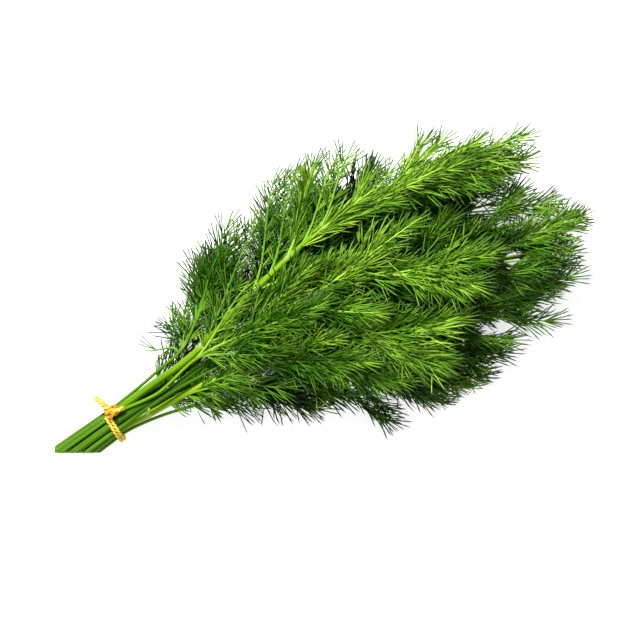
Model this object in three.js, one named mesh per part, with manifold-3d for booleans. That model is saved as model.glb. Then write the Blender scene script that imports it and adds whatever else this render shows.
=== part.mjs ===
// A bunch of fresh dill lying on its side: eleven cut leafy stems held by two turns of yellow twine.
// Sizes are in millimetres. The origin is on the surface the bunch lies on, under the twine.
// +X runs along the bunch from the twine towards the leaf tips, +Y across it and +Z up.
import * as THREE from "three";
import { mergeVertices } from "three/addons/utils/BufferGeometryUtils.js";
import Module from "manifold-3d";

const wasm = await Module();
wasm.setup();

// How finely each kind of round piece is faceted.
const STALK_SIDES = 8;
const THIN_STALK_SIDES = 6;
const STALK_STEP = 24;
const RIB_SIDES = 4;
const RIB_STEP = 22;
const TWINE_SIDES = 6;
const TWINE_STEPS_PER_TURN = 24;
const KNOT_STEPS = 30;

// The tied bundle: one stalk in the middle, six round it, and thin ones in the outer notches.
const RING = 5.6;
const NOTCH = 7.9;
const THIN = 2.2;
const SLOTS = {
  middle: [0, 0],
  top: around(90, RING),
  upperLeft: around(30, RING),
  lowerLeft: around(-30, RING),
  bottom: around(-90, RING),
  lowerRight: around(-150, RING),
  upperRight: around(150, RING),
  topNotchLeft: around(60, NOTCH),
  topNotchRight: around(120, NOTCH),
  leftNotch: around(0, NOTCH),
  rightNotch: around(180, NOTCH),
};
// Where the bundle's middle runs, and how far the stalks stand apart there against the tie.
const BUNDLE = [
  { x: -62, y: -6.2, z: 7.07, spread: 1.1 },
  { x: -28, y: -2.8, z: 7.42, spread: 1.06 },
  { x: -7, y: -0.6, z: 9.7, spread: 1 },
  { x: 7, y: 0.6, z: 10.7, spread: 1 },
];

// The two cuts that trim the stalks: everything further than its reach that way is gone.
const CUTS = [
  { direction: new THREE.Vector3(-0.5, -0.866, 0).normalize(), reach: 16.2 },
  { direction: new THREE.Vector3(-0.866, 0.5, 0).normalize(), reach: 33.5 },
];

// Radii of the stalks' tops, the leaf ribs and their needle-like leaflets.
const STALK_TIP = 0.9;
const RIB_BASE = 0.95;
const RIB_TIP = 0.5;
const NEEDLE_RADIUS = 0.46;
const FORK_RADIUS = 0.35;
const THINNEST_ROOT = 0.12;
// A needle bends forward this far up and by this much, and a fork is this much of its length.
const NEEDLE_BEND = 0.5;
const NEEDLE_SWEEP = 0.8;
const FORK_LENGTH = 0.7;
const FORK_SPREAD = 0.6;
// Needles open from the rib by these angles in degrees, and roll round it by up to half ROLL_RANGE.
const OPENING_AT_FOOT = 60;
const OPENING_AT_TIP = 32;
const ROLL_RANGE = 60;
const UPRIGHT_LENGTH = 0.65;
const LENGTH_SPREAD = 0.2;
// The shares of a rib that is bare, of needles that fork, and of needles above and below the rib.
const BARE_SHARE = 0.14;
const FORKED_SHARE = 0.12;
const UPRIGHT_SHARE = 0.13;
// A facet whose normal leans this much along the rib, or up, faces that way.
const FACES_ALONG = 0.7;
const FACES_UP = 0.6;
const FACES_FORK = 0.4;
// A needle that would cross another stem is turned by these degrees and then shortened.
const TURNS = [0, 20, -20, 40, -40];
const REACHES = [1, 0.75, 0.5];
const ROOT_SHRINK = 0.85;
// How many points stand for a spine, a stalk and a rib when gaps are measured.
const SPINE_SAMPLES = 60;
const STALK_SAMPLES = 40;
const RIB_SAMPLES = 12;
// How far a rib keeps the stalk's direction, and the direction that its tip sweeps to.
const RIB_HANDLE = 0.33;
const RIB_SWEEP = new THREE.Vector3(1, 0, -0.2);
// The least gap between a needle and another stem, and how low a needle may reach.
const CLEARANCE = 0.4;
const LOWEST_LEAF = 0.5;

// The twine.
const TIE_HEIGHT = 10.2;
const TIE_RISE = 0.083; // how fast the bundle climbs along x at the tie
const TWINE_RADIUS = 1;
const TWINE_GAP = 0.4;
const TWINE_PITCH = 2.05;
const KNOT_ANGLE = 56;
const KNOT_SHIFT = 2.5; // how far the knot sits from the turns' middle towards the leaves
const KNOT_SIZE = 2.5;
const KNOT_TUBE = 1;
const KNOT_CORE = 2.5;
const KNOT_RISE = 1.9;
const LONG_END_RADIUS = 1.9;
const SHORT_END_RADIUS = 1.2;
const END_STEPS = 4;

// Each leafy stem: its slot in the bundle, its thickness where it is cut, the points that it passes
// beyond the tie, and its leaves. A leaf springs off at x along the stem, ends at tip, and reaches
// half its width to either side.
const STEMS = [
  {
    name: "dill_stem_01", slot: "upperLeft", thick: 5.4,
    points: [[26, 7.9, 16.4], [62, 12, 23], [107, 25, 36], [155, 36, 47], [193, 38, 51], [226, 36, 51]],
    leaves: [
      { x: 64, tip: [134, 60, 26], half: 9 },
      { x: 106, tip: [157, 80, 30], half: 6 },
      { x: 108, tip: [189, -2, 46], half: 13 },
      { x: 132, tip: [179, 74, 36], half: 9 },
      { x: 156, tip: [196, 67, 42], half: 9 },
      { x: 176, tip: [200, 51, 46], half: 5 },
      { x: 198, tip: [283, 12, 40], half: 13 },
      { x: 206, tip: [237, 52, 50], half: 7 },
      { x: 214, tip: [264, 35, 51], half: 7 },
      { x: 226, tip: [288, 24, 46], half: 9 },
    ],
  },
  {
    name: "dill_stem_02", slot: "leftNotch", thick: THIN,
    points: [[26, 11.4, 13.2], [40, 14.2, 15.7], [56, 17.6, 19], [75, 30, 20]],
    leaves: [
      { x: 54, tip: [37, 28, 12], half: 4 },
      { x: 56, tip: [60, 39, 9], half: 9 },
      { x: 69, tip: [92, 59, 14], half: 10 },
      { x: 75, tip: [118, 68, 21], half: 10 },
    ],
  },
  {
    name: "dill_stem_03", slot: "topNotchLeft", thick: THIN,
    points: [[26, 2.7, 22.5], [36, 3.2, 24.2], [56, 8, 28.5], [69, 9, 34]],
    leaves: [
      { x: 60, tip: [107, 30, 46], half: 10 },
      { x: 62, tip: [103, -12, 46], half: 9 },
      { x: 69, tip: [143, -1, 52], half: 13 },
    ],
  },
  {
    name: "dill_stem_04", slot: "top", thick: 5,
    points: [[26, 0.2, 18.9], [40, 0.6, 20.3], [72, 4, 25], [115, 8, 38], [152, 4, 48], [181, -6, 51]],
    leaves: [
      { x: 87, tip: [145, 22, 50], half: 12 },
      { x: 115, tip: [168, -22, 55], half: 12 },
      { x: 133, tip: [211, 14, 57], half: 13 },
      { x: 153, tip: [241, -24, 50], half: 14 },
      { x: 181, tip: [224, -36, 52], half: 13 },
    ],
  },
  {
    name: "dill_stem_05", slot: "upperRight", thick: 5.4,
    points: [[26, -5.3, 16.3], [56, -6, 24], [85, -10, 34], [123, -16, 42], [149, -32, 44]],
    leaves: [
      { x: 60, tip: [101, -33, 32], half: 10 },
      { x: 86, tip: [149, -42, 50], half: 11 },
      { x: 105, tip: [161, -64, 36], half: 12 },
      { x: 125, tip: [207, -48, 43], half: 13 },
      { x: 149, tip: [187, -66, 40], half: 12 },
    ],
  },
  {
    name: "dill_stem_06", slot: "rightNotch", thick: THIN,
    points: [[26, -9.4, 13], [44, -13.5, 14], [58, -17.5, 13]],
    leaves: [
      { x: 51, tip: [60, -26, 6], half: 7 },
      { x: 58, tip: [82, -37, 0.2], half: 8 },
    ],
  },
  {
    name: "dill_stem_07", slot: "lowerRight", thick: 5,
    points: [[26, -3, 8.5], [40, -4.4, 9.6], [55, -9.5, 11.5], [87, -24, 13], [118, -38.5, 13]],
    leaves: [
      { x: 62, tip: [111, -54, 7], half: 8 },
      { x: 79, tip: [129, -24, 22], half: 11 },
      { x: 95, tip: [132, -57, 15], half: 8 },
      { x: 118, tip: [142, -82, 6], half: 6 },
    ],
  },
  {
    name: "dill_stem_08", slot: "bottom", thick: 4.8,
    points: [[26, 1.2, 4.6], [62, -6, 8], [107, -20, 9], [143, -40, 11]],
    leaves: [
      { x: 73, tip: [123, 8, 4], half: 11 },
      { x: 124, tip: [176, -89, 0.2], half: 8 },
      { x: 128, tip: [194, -88, 15], half: 12 },
      { x: 137, tip: [196, -36, 0.2], half: 12 },
      { x: 143, tip: [220, -78, 10], half: 11 },
    ],
  },
  {
    name: "dill_stem_09", slot: "middle", thick: 5.2,
    points: [[26, 0.9, 13], [63, 0, 16], [113, -6, 21], [163, -24, 25], [203, -42, 25]],
    leaves: [
      { x: 99, tip: [153, -38, 28], half: 11 },
      { x: 143, tip: [215, -10, 22], half: 13 },
      { x: 168, tip: [225, -74, 22], half: 9 },
      { x: 193, tip: [252, -76, 16], half: 10 },
      { x: 203, tip: [274, -58, 23], half: 9 },
    ],
  },
  {
    name: "dill_stem_10", slot: "lowerLeft", thick: 5,
    points: [[26, 4.8, 8.8], [57, 7.4, 11], [103, 18, 14], [153, 26, 20], [203, 17, 25]],
    leaves: [
      { x: 69, tip: [107, 48, 0.2], half: 12 },
      { x: 99, tip: [160, 76, 12], half: 9 },
      { x: 121, tip: [173, 2, 12], half: 12 },
      { x: 143, tip: [207, 52, 24], half: 12 },
      { x: 173, tip: [239, 32, 30], half: 12 },
      { x: 203, tip: [283, -16, 28], half: 12 },
    ],
  },
  {
    name: "dill_stem_11", slot: "topNotchRight", thick: 2.6,
    points: [[26, -1.6, 23], [52, -1, 27], [109, -5, 31], [163, -12, 36], [217, -20, 37]],
    leaves: [
      { x: 123, tip: [179, -40, 34], half: 11 },
      { x: 163, tip: [229, 6, 40], half: 12 },
      { x: 191, tip: [261, -46, 34], half: 12 },
      { x: 203, tip: [279, -46, 28], half: 12 },
      { x: 217, tip: [300, -32, 32], half: 12 },
    ],
  },
];

function around(degrees, radius) {
  const angle = THREE.MathUtils.degToRad(degrees);
  return [radius * Math.cos(angle), radius * Math.sin(angle)];
}

// A repeatable stream of numbers from 0 to 1.
function drawsFrom(seed) {
  let state = seed;
  return () => {
    state = (state * 16807) % 2147483647;
    return state / 2147483647;
  };
}

// Bends a shape that stands along Y round a curve, keeping its sideways offsets.
function bendAlong(geometry, length, curve, up) {
  const place = geometry.getAttribute("position");
  const side = new THREE.Vector3();
  const lift = new THREE.Vector3();
  for (let i = 0; i < place.count; i++) {
    const share = THREE.MathUtils.clamp(place.getY(i) / length + 0.5, 0, 1);
    const tangent = curve.getTangentAt(share);
    side.crossVectors(tangent, up).normalize();
    lift.crossVectors(side, tangent);
    const point = curve
      .getPointAt(share)
      .addScaledVector(side, place.getX(i))
      .addScaledVector(lift, place.getZ(i));
    place.setXYZ(i, point.x, point.y, point.z);
  }
  return geometry;
}

// A tapering round shoot along a curve.
function shoot(curve, baseRadius, tipRadius, sides, steps, up) {
  const length = curve.getLength();
  const blank = new THREE.CylinderGeometry(tipRadius, baseRadius, length, sides, steps);
  return bendAlong(blank.rotateY(Math.PI / sides), length, curve, up);
}

// A shape as its corners and its triangular facets, from which needles can be raised.
function shapeFrom(geometry) {
  geometry.deleteAttribute("normal");
  geometry.deleteAttribute("uv");
  const merged = mergeVertices(geometry, 1e-4);
  const place = merged.getAttribute("position");
  const corners = Array.from({ length: place.count }, (_, i) =>
    new THREE.Vector3().fromBufferAttribute(place, i),
  );
  const facets = [];
  for (let i = 0; i < merged.index.count; i += 3) {
    facets.push([merged.index.getX(i), merged.index.getX(i + 1), merged.index.getX(i + 2)]);
  }
  return { corners, facets };
}

function solidFrom({ corners, facets }) {
  return new wasm.Manifold(
    new wasm.Mesh({
      numProp: 3,
      vertProperties: new Float32Array(corners.flatMap((corner) => corner.toArray())),
      triVerts: new Uint32Array(facets.flat()),
    }),
  );
}

function geometryFrom(solid) {
  const mesh = solid.getMesh();
  return new THREE.BufferGeometry()
    .setAttribute("position", new THREE.BufferAttribute(new Float32Array(mesh.vertProperties), 3))
    .setIndex(new THREE.BufferAttribute(mesh.triVerts, 1));
}

function slab(width, depth, height, place) {
  return solidFrom(shapeFrom(new THREE.BoxGeometry(width, depth, height).applyMatrix4(place)));
}

const UP = new THREE.Vector3(0, 0, 1);
const SLAB = 800;

// Everything below the surface that the bunch lies on.
const ground = slab(SLAB, SLAB, 40, new THREE.Matrix4().makeTranslation(0, 0, -20));

// Everything beyond each cut through the stalks.
const offcuts = CUTS.map(({ direction, reach }) => {
  const turn = new THREE.Matrix4().makeRotationZ(Math.atan2(direction.y, direction.x));
  return slab(SLAB, SLAB, 100, turn.setPosition(direction.clone().multiplyScalar(reach + SLAB / 2)));
});

// What is in place so far, as lines with a thickness, so that new needles can be bent clear of it.
const inPlace = [];

function occupy(owner, leaf, points, radius) {
  for (let i = 1; i < points.length; i++) {
    inPlace.push({ owner, leaf, line: new THREE.Line3(points[i - 1], points[i]), radius });
  }
}

// Whether a needle through these points misses the other stems, the needles of its own leaf apart
// from the one that it forks from, and the surface below.
function isClear(owner, leaf, points, parent) {
  if (points.some((point) => point.z < LOWEST_LEAF)) return false;
  return points.slice(1).every((end, i) => {
    const line = new THREE.Line3(points[i], end);
    return inPlace.every((other) => {
      if (other.owner === owner && (other.leaf !== leaf || other.line.end === parent)) return true;
      const apart = NEEDLE_RADIUS + other.radius + CLEARANCE;
      return line.distanceSqToLine3(other.line) > apart * apart;
    });
  });
}

// The line that a stem follows from its cut end through the tie to its top.
function stemCurve(stem) {
  const [across, above] = SLOTS[stem.slot];
  const bundled = BUNDLE.map(
    ({ x, y, z, spread }) => new THREE.Vector3(x, y + across * spread, z + above * spread),
  );
  const free = stem.points.map((point) => new THREE.Vector3(...point));
  return new THREE.CatmullRomCurve3([...bundled, ...free], false, "catmullrom", 0.5);
}

// How far along a curve, from 0 to 1, it reaches a given x.
function shareAtX(curve, x) {
  let low = 0;
  let high = 1;
  while (high - low > 1e-4) {
    const middle = (low + high) / 2;
    if (curve.getPointAt(middle).x < x) low = middle;
    else high = middle;
  }
  return (low + high) / 2;
}

// A leaf's rib leaves the stalk close to its direction and sweeps out to its tip.
function ribCurve(stalk, leaf) {
  const share = shareAtX(stalk, leaf.x);
  const root = stalk.getPointAt(share);
  const tip = new THREE.Vector3(...leaf.tip);
  const reach = root.distanceTo(tip);
  const along = stalk.getTangentAt(share);
  const outward = tip.clone().sub(root).normalize();
  const start = along.clone().add(outward).normalize();
  const end = outward.clone().multiplyScalar(2).add(RIB_SWEEP).normalize();
  return new THREE.CubicBezierCurve3(
    root,
    root.clone().addScaledVector(start, RIB_HANDLE * reach),
    tip.clone().addScaledVector(end, -RIB_HANDLE * reach),
    tip,
  );
}

// The widest part of a leaf is a third of the way up; it narrows to the tip.
function widthShare(share) {
  return Math.sin(Math.PI * (0.2 + 0.76 * share) ** 0.8);
}

// The middle of a facet and the way it faces.
function facetFacts({ corners, facets }, facet) {
  const [a, b, c] = facets[facet].map((corner) => corners[corner]);
  const middle = a.clone().add(b).add(c).divideScalar(3);
  const normal = b.clone().sub(a).cross(c.clone().sub(a)).normalize();
  return { middle, normal };
}

// A facet's corner numbers, in the same order round, with the corner at its sharp end first.
function fromSharpEnd({ corners, facets }, facet) {
  const [a, b, c] = facets[facet];
  const span = (from, to) => corners[from].distanceTo(corners[to]);
  const shortest = Math.min(span(a, b), span(b, c), span(c, a));
  if (shortest === span(b, c)) return [a, b, c];
  return shortest === span(c, a) ? [b, c, a] : [c, a, b];
}

// Three corners of a needle of a radius, running along way, where it leaves the facet's plane.
function rootRing(middle, normal, way, toward, radius) {
  const toCorner = toward.clone().projectOnPlane(way).setLength(radius);
  return [0, 1, 2].map((third) => {
    const corner = toCorner.clone().applyAxisAngle(way, (third * 2 * Math.PI) / 3);
    return corner.addScaledVector(way, -corner.dot(normal) / way.dot(normal)).add(middle);
  });
}

// Raises a needle from a facet: its root lies in the facet's plane, no wider than the facet has
// room for, and it runs through a ring of the given radius at each point but the last, its tip.
function raise(shape, facet, points, rootRadius, radii) {
  let base = fromSharpEnd(shape, facet);
  const { middle, normal } = facetFacts(shape, facet);
  const seat = new THREE.Triangle(...base.map((corner) => shape.corners[corner]));
  const toward = seat.a.clone().sub(middle);
  const start = points[0].clone().sub(middle).normalize();
  let radius = rootRadius;
  let corners = rootRing(middle, normal, start, toward, radius);
  while (!corners.every((corner) => seat.containsPoint(corner))) {
    radius *= ROOT_SHRINK;
    if (radius < THINNEST_ROOT) return false;
    corners = rootRing(middle, normal, start, toward, radius);
  }
  const rings = [corners];
  radii.forEach((ringRadius, i) => {
    const way = points[i + 1].clone().sub(points[i]).normalize();
    const toCorner = toward.clone().projectOnPlane(way).setLength(ringRadius);
    rings.push(
      [0, 1, 2].map((third) =>
        toCorner.clone().applyAxisAngle(way, (third * 2 * Math.PI) / 3).add(points[i]),
      ),
    );
  });
  const grown = [];
  for (const ring of rings) {
    const above = ring.map((corner) => shape.corners.push(corner) - 1);
    for (const k of [0, 1, 2]) {
      const next = (k + 1) % 3;
      grown.push([base[k], base[next], above[next]], [base[k], above[next], above[k]]);
    }
    base = above;
  }
  const tip = shape.corners.push(points[points.length - 1]) - 1;
  shape.facets.push(...grown, [base[0], base[1], tip], [base[1], base[2], tip]);
  shape.facets[facet] = [base[2], base[0], tip];
  return true;
}

// A leaflet: a needle that bends forward, and on some a fork growing from its side.
function leaflet(owner, leaf, facet, heading, forward, length, forked) {
  const { shape } = leaf;
  const { middle: root } = facetFacts(shape, facet);
  for (const reach of REACHES) {
    for (const turn of TURNS) {
      const way = heading.clone().applyAxisAngle(forward, THREE.MathUtils.degToRad(turn));
      const late = way.clone().addScaledVector(forward, NEEDLE_SWEEP).normalize();
      const bend = root.clone().addScaledVector(way, NEEDLE_BEND * reach * length);
      const tip = bend.clone().addScaledVector(late, (1 - NEEDLE_BEND) * reach * length);
      const clearStart = root.clone().addScaledVector(way, RIB_BASE);
      if (!isClear(owner, leaf, [clearStart, bend, tip])) continue;
      const first = shape.facets.length;
      if (!raise(shape, facet, [bend, tip], NEEDLE_RADIUS, [NEEDLE_RADIUS])) return;
      occupy(owner, leaf, [root, bend, tip], NEEDLE_RADIUS);
      if (forked) fork(owner, leaf, first + 6, [root, bend], forward, FORK_LENGTH * reach * length);
      return;
    }
  }
}

// A fork grows from the side of a needle, from whichever of the six facets from first faces it.
function fork(owner, leaf, first, [root, bend], forward, length) {
  const stalk = bend.clone().sub(root).normalize();
  const way = stalk.clone().multiplyScalar(FORK_SPREAD).add(forward).normalize();
  let best = { facing: FACES_FORK };
  for (let facet = first; facet < first + 6; facet++) {
    const { middle, normal } = facetFacts(leaf.shape, facet);
    if (normal.dot(way) > best.facing) best = { facing: normal.dot(way), facet, middle };
  }
  if (!best.middle) return;
  const tip = best.middle.clone().addScaledVector(way, length);
  const clearStart = best.middle.clone().addScaledVector(way, NEEDLE_RADIUS);
  if (!isClear(owner, leaf, [clearStart, tip], bend)) return;
  if (raise(leaf.shape, best.facet, [tip], FORK_RADIUS, [])) {
    occupy(owner, leaf, [best.middle, tip], FORK_RADIUS);
  }
}

// The leaflets of one leaf: one on each facet at the sides of its rib, and now and then a shorter
// one above or below.
function growLeaflets(owner, leaf, draw) {
  const { shape, rib } = leaf;
  const spine = rib.getSpacedPoints(SPINE_SAMPLES);
  const ribFacets = shape.facets.length;
  for (let facet = 0; facet < ribFacets; facet++) {
    const { middle, normal } = facetFacts(shape, facet);
    const gaps = spine.map((point) => point.distanceTo(middle));
    const share = gaps.indexOf(Math.min(...gaps)) / SPINE_SAMPLES;
    const forward = rib.getTangentAt(share);
    const facesEnd = Math.abs(normal.dot(forward)) > FACES_ALONG;
    if (facesEnd || share < BARE_SHARE) continue;
    const sideways = Math.abs(normal.z) < FACES_UP;
    if (!sideways && draw() > UPRIGHT_SHARE) continue;
    const roll = THREE.MathUtils.degToRad(ROLL_RANGE * (draw() - 0.5));
    const outward = normal.clone().projectOnPlane(forward).normalize().applyAxisAngle(forward, roll);
    const opening = THREE.MathUtils.degToRad(
      THREE.MathUtils.lerp(OPENING_AT_FOOT, OPENING_AT_TIP, share),
    );
    const heading = forward
      .clone()
      .multiplyScalar(Math.cos(opening))
      .addScaledVector(outward, Math.sin(opening));
    const full = (leaf.half * widthShare(share)) / Math.sin(opening);
    const spread = 1 + LENGTH_SPREAD * (draw() - 0.5);
    const length = full * spread * (sideways ? 1 : UPRIGHT_LENGTH);
    leaflet(owner, leaf, facet, heading, forward, length, draw() < FORKED_SHARE);
  }
}

function stemSolid(stem, index) {
  const draw = drawsFrom(7919 * (index + 1));
  const stalk = stem.curve;
  const sides = stem.thick > 4 ? STALK_SIDES : THIN_STALK_SIDES;
  const steps = Math.round(stalk.getLength() / STALK_STEP);
  const shapes = [shapeFrom(shoot(stalk, stem.thick / 2, STALK_TIP, sides, steps, UP))];
  for (const leaf of stem.grown) {
    const ribSteps = Math.max(3, Math.round(leaf.rib.getLength() / RIB_STEP));
    leaf.shape = shapeFrom(shoot(leaf.rib, RIB_BASE, RIB_TIP, RIB_SIDES, ribSteps, UP));
    growLeaflets(stem.name, leaf, draw);
    shapes.push(leaf.shape);
  }
  const whole = shapes.map(solidFrom).reduce((joined, piece) => joined.add(piece));
  return [ground, ...offcuts].reduce((left, waste) => left.subtract(waste), whole);
}

// How far the twine's middle is from the bundle's middle, at an angle round it.
const TWINE_ROUTE = [
  [0, NOTCH + THIN / 2],
  [30, RING + 2.7],
  [60, NOTCH + THIN / 2 + 0.2],
  [90, RING + 2.6],
  [120, NOTCH + THIN / 2 + 0.15],
  [150, RING + 2.7],
  [180, NOTCH + THIN / 2 + 0.15],
  [210, RING + 2.6],
  [240, RING + 2.3],
  [270, RING + 2.55],
  [300, RING + 2.3],
  [330, RING + 2.6],
];

// The share of a turn from the knot to the bundle's underside, where x is 0.
const TURN_TO_BOTTOM = (270 - KNOT_ANGLE) / 360;
const KNOT_X = (1 - TURN_TO_BOTTOM) * TWINE_PITCH + KNOT_SHIFT;

// One closed loop of twine round the bundle.
function twineLoop() {
  const offset = TWINE_GAP + TWINE_RADIUS;
  const points = TWINE_ROUTE.map(([degrees, radius]) => {
    const [y, z] = around(degrees, radius + offset);
    return new THREE.Vector3(0, y, z + TIE_HEIGHT);
  });
  return new THREE.CatmullRomCurve3(points, true, "catmullrom", 0.5);
}

// Two turns of twine side by side, from the knot round to the knot.
function twineTurns(loop) {
  const start = KNOT_ANGLE / 360;
  const points = [];
  for (let step = 0; step <= 2 * TWINE_STEPS_PER_TURN; step++) {
    const turn = step / TWINE_STEPS_PER_TURN;
    const point = loop.getPoint((start + turn) % 1);
    point.x = (turn - TURN_TO_BOTTOM) * TWINE_PITCH;
    point.z += TIE_RISE * point.x;
    points.push(point);
  }
  const route = new THREE.CatmullRomCurve3(points, false, "catmullrom", 0.5);
  const steps = 2 * TWINE_STEPS_PER_TURN;
  return shoot(route, TWINE_RADIUS, TWINE_RADIUS, TWINE_SIDES, steps, new THREE.Vector3(1, 0, 0));
}

// A free end of twine from the knot's middle, through points given from there.
function twineEnd(knot, steps, radius) {
  const points = steps.map((step) => new THREE.Vector3(...step).add(knot));
  return shoot(new THREE.CatmullRomCurve3(points), radius, radius, TWINE_SIDES, END_STEPS, UP);
}

// The turns, the knot, which sits out from them on a round core, and the two free ends.
function twineSolid() {
  const loop = twineLoop();
  const [outY, outZ] = around(KNOT_ANGLE, KNOT_RISE);
  const middle = loop.getPoint(KNOT_ANGLE / 360).add(new THREE.Vector3(KNOT_X, outY, outZ));
  const place = new THREE.Matrix4()
    .makeRotationX(THREE.MathUtils.degToRad(KNOT_ANGLE - 90))
    .setPosition(middle);
  const knot = new THREE.TorusKnotGeometry(KNOT_SIZE, KNOT_TUBE, KNOT_STEPS, TWINE_SIDES, 2, 3);
  const core = new THREE.IcosahedronGeometry(KNOT_CORE, 1);
  const longEnd = [[0, 0, 0], [-1.2, 3.5, 1.2], [-2.4, 7, 0.6], [-3.6, 10.5, -1.2]];
  const shortEnd = [[0, 0, 0], [3.2, -1.2, 1.8], [6.4, -1.6, 1.2]];
  return [
    twineTurns(loop),
    knot.applyMatrix4(place),
    core.applyMatrix4(place),
    twineEnd(middle, longEnd, LONG_END_RADIUS),
    twineEnd(middle, shortEnd, SHORT_END_RADIUS),
  ]
    .map((geometry) => solidFrom(shapeFrom(geometry)))
    .reduce((joined, piece) => joined.add(piece))
    .subtract(ground);
}

const leafGreen = new THREE.MeshStandardMaterial({ color: 0x3f7d1c, roughness: 0.55, metalness: 0 });
const twineYellow = new THREE.MeshStandardMaterial({ color: 0xe0b52c, roughness: 0.9, metalness: 0 });

const bunch = new THREE.Group();

function addMesh(name, solid, material) {
  const mesh = new THREE.Mesh(geometryFrom(solid), material);
  mesh.name = name;
  bunch.add(mesh);
}

// Every stalk and rib takes its place first, so that the leaflets can be bent clear of them all.
for (const stem of STEMS) {
  stem.curve = stemCurve(stem);
  stem.grown = stem.leaves.map((leaf) => ({ rib: ribCurve(stem.curve, leaf), half: leaf.half }));
  occupy(stem.name, null, stem.curve.getSpacedPoints(STALK_SAMPLES), stem.thick / 2);
  for (const { rib } of stem.grown) occupy(stem.name, null, rib.getSpacedPoints(RIB_SAMPLES), RIB_BASE);
}

STEMS.forEach((stem, index) => addMesh(stem.name, stemSolid(stem, index), leafGreen));
addMesh("twine_tie", twineSolid(), twineYellow);

export default bunch;
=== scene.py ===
import math
import random

import bmesh
import bpy
import numpy as np
from mathutils import Matrix, Vector


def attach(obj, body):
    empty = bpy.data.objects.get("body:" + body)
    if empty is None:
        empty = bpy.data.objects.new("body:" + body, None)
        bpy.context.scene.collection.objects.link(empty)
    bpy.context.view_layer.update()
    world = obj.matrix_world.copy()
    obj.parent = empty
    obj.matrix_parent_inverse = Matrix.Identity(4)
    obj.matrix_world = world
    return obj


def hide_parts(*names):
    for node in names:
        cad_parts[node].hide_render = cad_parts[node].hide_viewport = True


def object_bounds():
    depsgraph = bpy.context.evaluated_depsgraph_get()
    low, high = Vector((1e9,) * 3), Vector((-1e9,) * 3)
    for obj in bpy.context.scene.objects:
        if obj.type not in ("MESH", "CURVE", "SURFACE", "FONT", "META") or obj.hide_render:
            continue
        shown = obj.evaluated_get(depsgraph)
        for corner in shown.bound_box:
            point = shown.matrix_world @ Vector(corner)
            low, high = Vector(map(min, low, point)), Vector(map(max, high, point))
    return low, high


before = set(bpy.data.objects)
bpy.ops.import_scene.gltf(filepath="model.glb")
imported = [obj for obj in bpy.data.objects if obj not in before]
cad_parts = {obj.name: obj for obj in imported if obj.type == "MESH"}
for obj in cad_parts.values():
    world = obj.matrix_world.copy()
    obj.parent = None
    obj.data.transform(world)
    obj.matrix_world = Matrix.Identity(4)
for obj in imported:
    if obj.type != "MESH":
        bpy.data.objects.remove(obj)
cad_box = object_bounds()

# A bunch of fresh dill lying on its side: eleven leafy stems held by two turns of yellow twine.
# Shapes are worked out in millimetres, in the part's frame, and become metres when a piece is made.
MM = 0.001
UP = Vector((0, 0, 1))
LOW, HIGH = (np.array(corner) / MM for corner in cad_box)

# The view: straight down, with the bunch's tips to the upper right.
VIEW_CENTRE = Vector((132.7, -7.5, 25.0))
VIEW_RIGHT = Vector((0.866, -0.5, 0.0))
VIEW_UP = Vector((0.5, 0.866, 0.0))
VIEW_WIDTH = 364.8
LENS = 250.0
SENSOR = 36.0

# The tied bundle: one stalk in the middle, six round it, and thin ones in the outer notches.
RING = 5.6
NOTCH = 7.9
THIN = 2.2
SLOT_AT = {
    "middle": (0, 0),
    "top": (90, RING),
    "upperLeft": (30, RING),
    "lowerLeft": (-30, RING),
    "bottom": (-90, RING),
    "lowerRight": (-150, RING),
    "upperRight": (150, RING),
    "topNotchLeft": (60, NOTCH),
    "topNotchRight": (120, NOTCH),
    "leftNotch": (0, NOTCH),
    "rightNotch": (180, NOTCH),
}
# Where the bundle's middle runs, as x, y and z, and how far the stalks stand apart there.
BUNDLE = [
    ((-62, -6.2, 7.07), 1.1),
    ((-28, -2.8, 7.42), 1.06),
    ((-7, -0.6, 9.7), 1),
    ((7, 0.6, 10.7), 1),
]
# The two cuts that trim the stalks: the way each faces and how far out it is.
CUTS = [
    (Vector((-0.5, -0.866, 0)).normalized(), 16.2),
    (Vector((-0.866, 0.5, 0)).normalized(), 33.5),
]
# How a cut's face is found, and its rind and its dish, as shares of the stalk's thickness.
CUT_NEAR = 0.01
CUT_FACING = 0.99
RIND = 0.1
CUT_DISH = 0.04

# The stalks: the radius at a tip, how they swell towards the foot, more so deep in the bundle, and
# their fine ridges.
THICK_FROM = 4.0
STALK_TIP = 0.9
FOOT_SWELL = 0.12
INNER_FOOT_SWELL = 0.55
INNER_STALKS = ("dill_stem_08", "dill_stem_09", "dill_stem_10")
FOOT_FADE = 2.5
RIDGES = 8
RIDGE_HEIGHT = 0.025
# The swollen, pale joints: how far past a leaf's foot each one is, and how far it spreads.
JOINT_SHIFT = 4.0
JOINT_SPREAD = 3.2
JOINT_SWELL = 0.22
PALE_SPREAD = 3.0
PALE_FADE = 0.75
# How light every stalk is at its foot, and the stretch of x where it takes on its own shade, partly
# its own tone and partly painted light and shade.
FOOT_SHADE = -0.12
SHADE_FROM = -4.0
SHADE_RUN = 22.0
# A joint low on a stalk, by its x, with a sheath on it.
LOW_JOINTS = {"dill_stem_05": 16}
SHEATH_WAY = Vector((3.0, 2.6, 5.0))
SHEATH_LENGTH = 8.0
SHEATH_RISE = 2.0
SHEATH_RADIUS = 1.2
SHEATH_CURL = 0.2
SHEATH_LOOK = dict(tint=0.3, pale=0.6)
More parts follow.
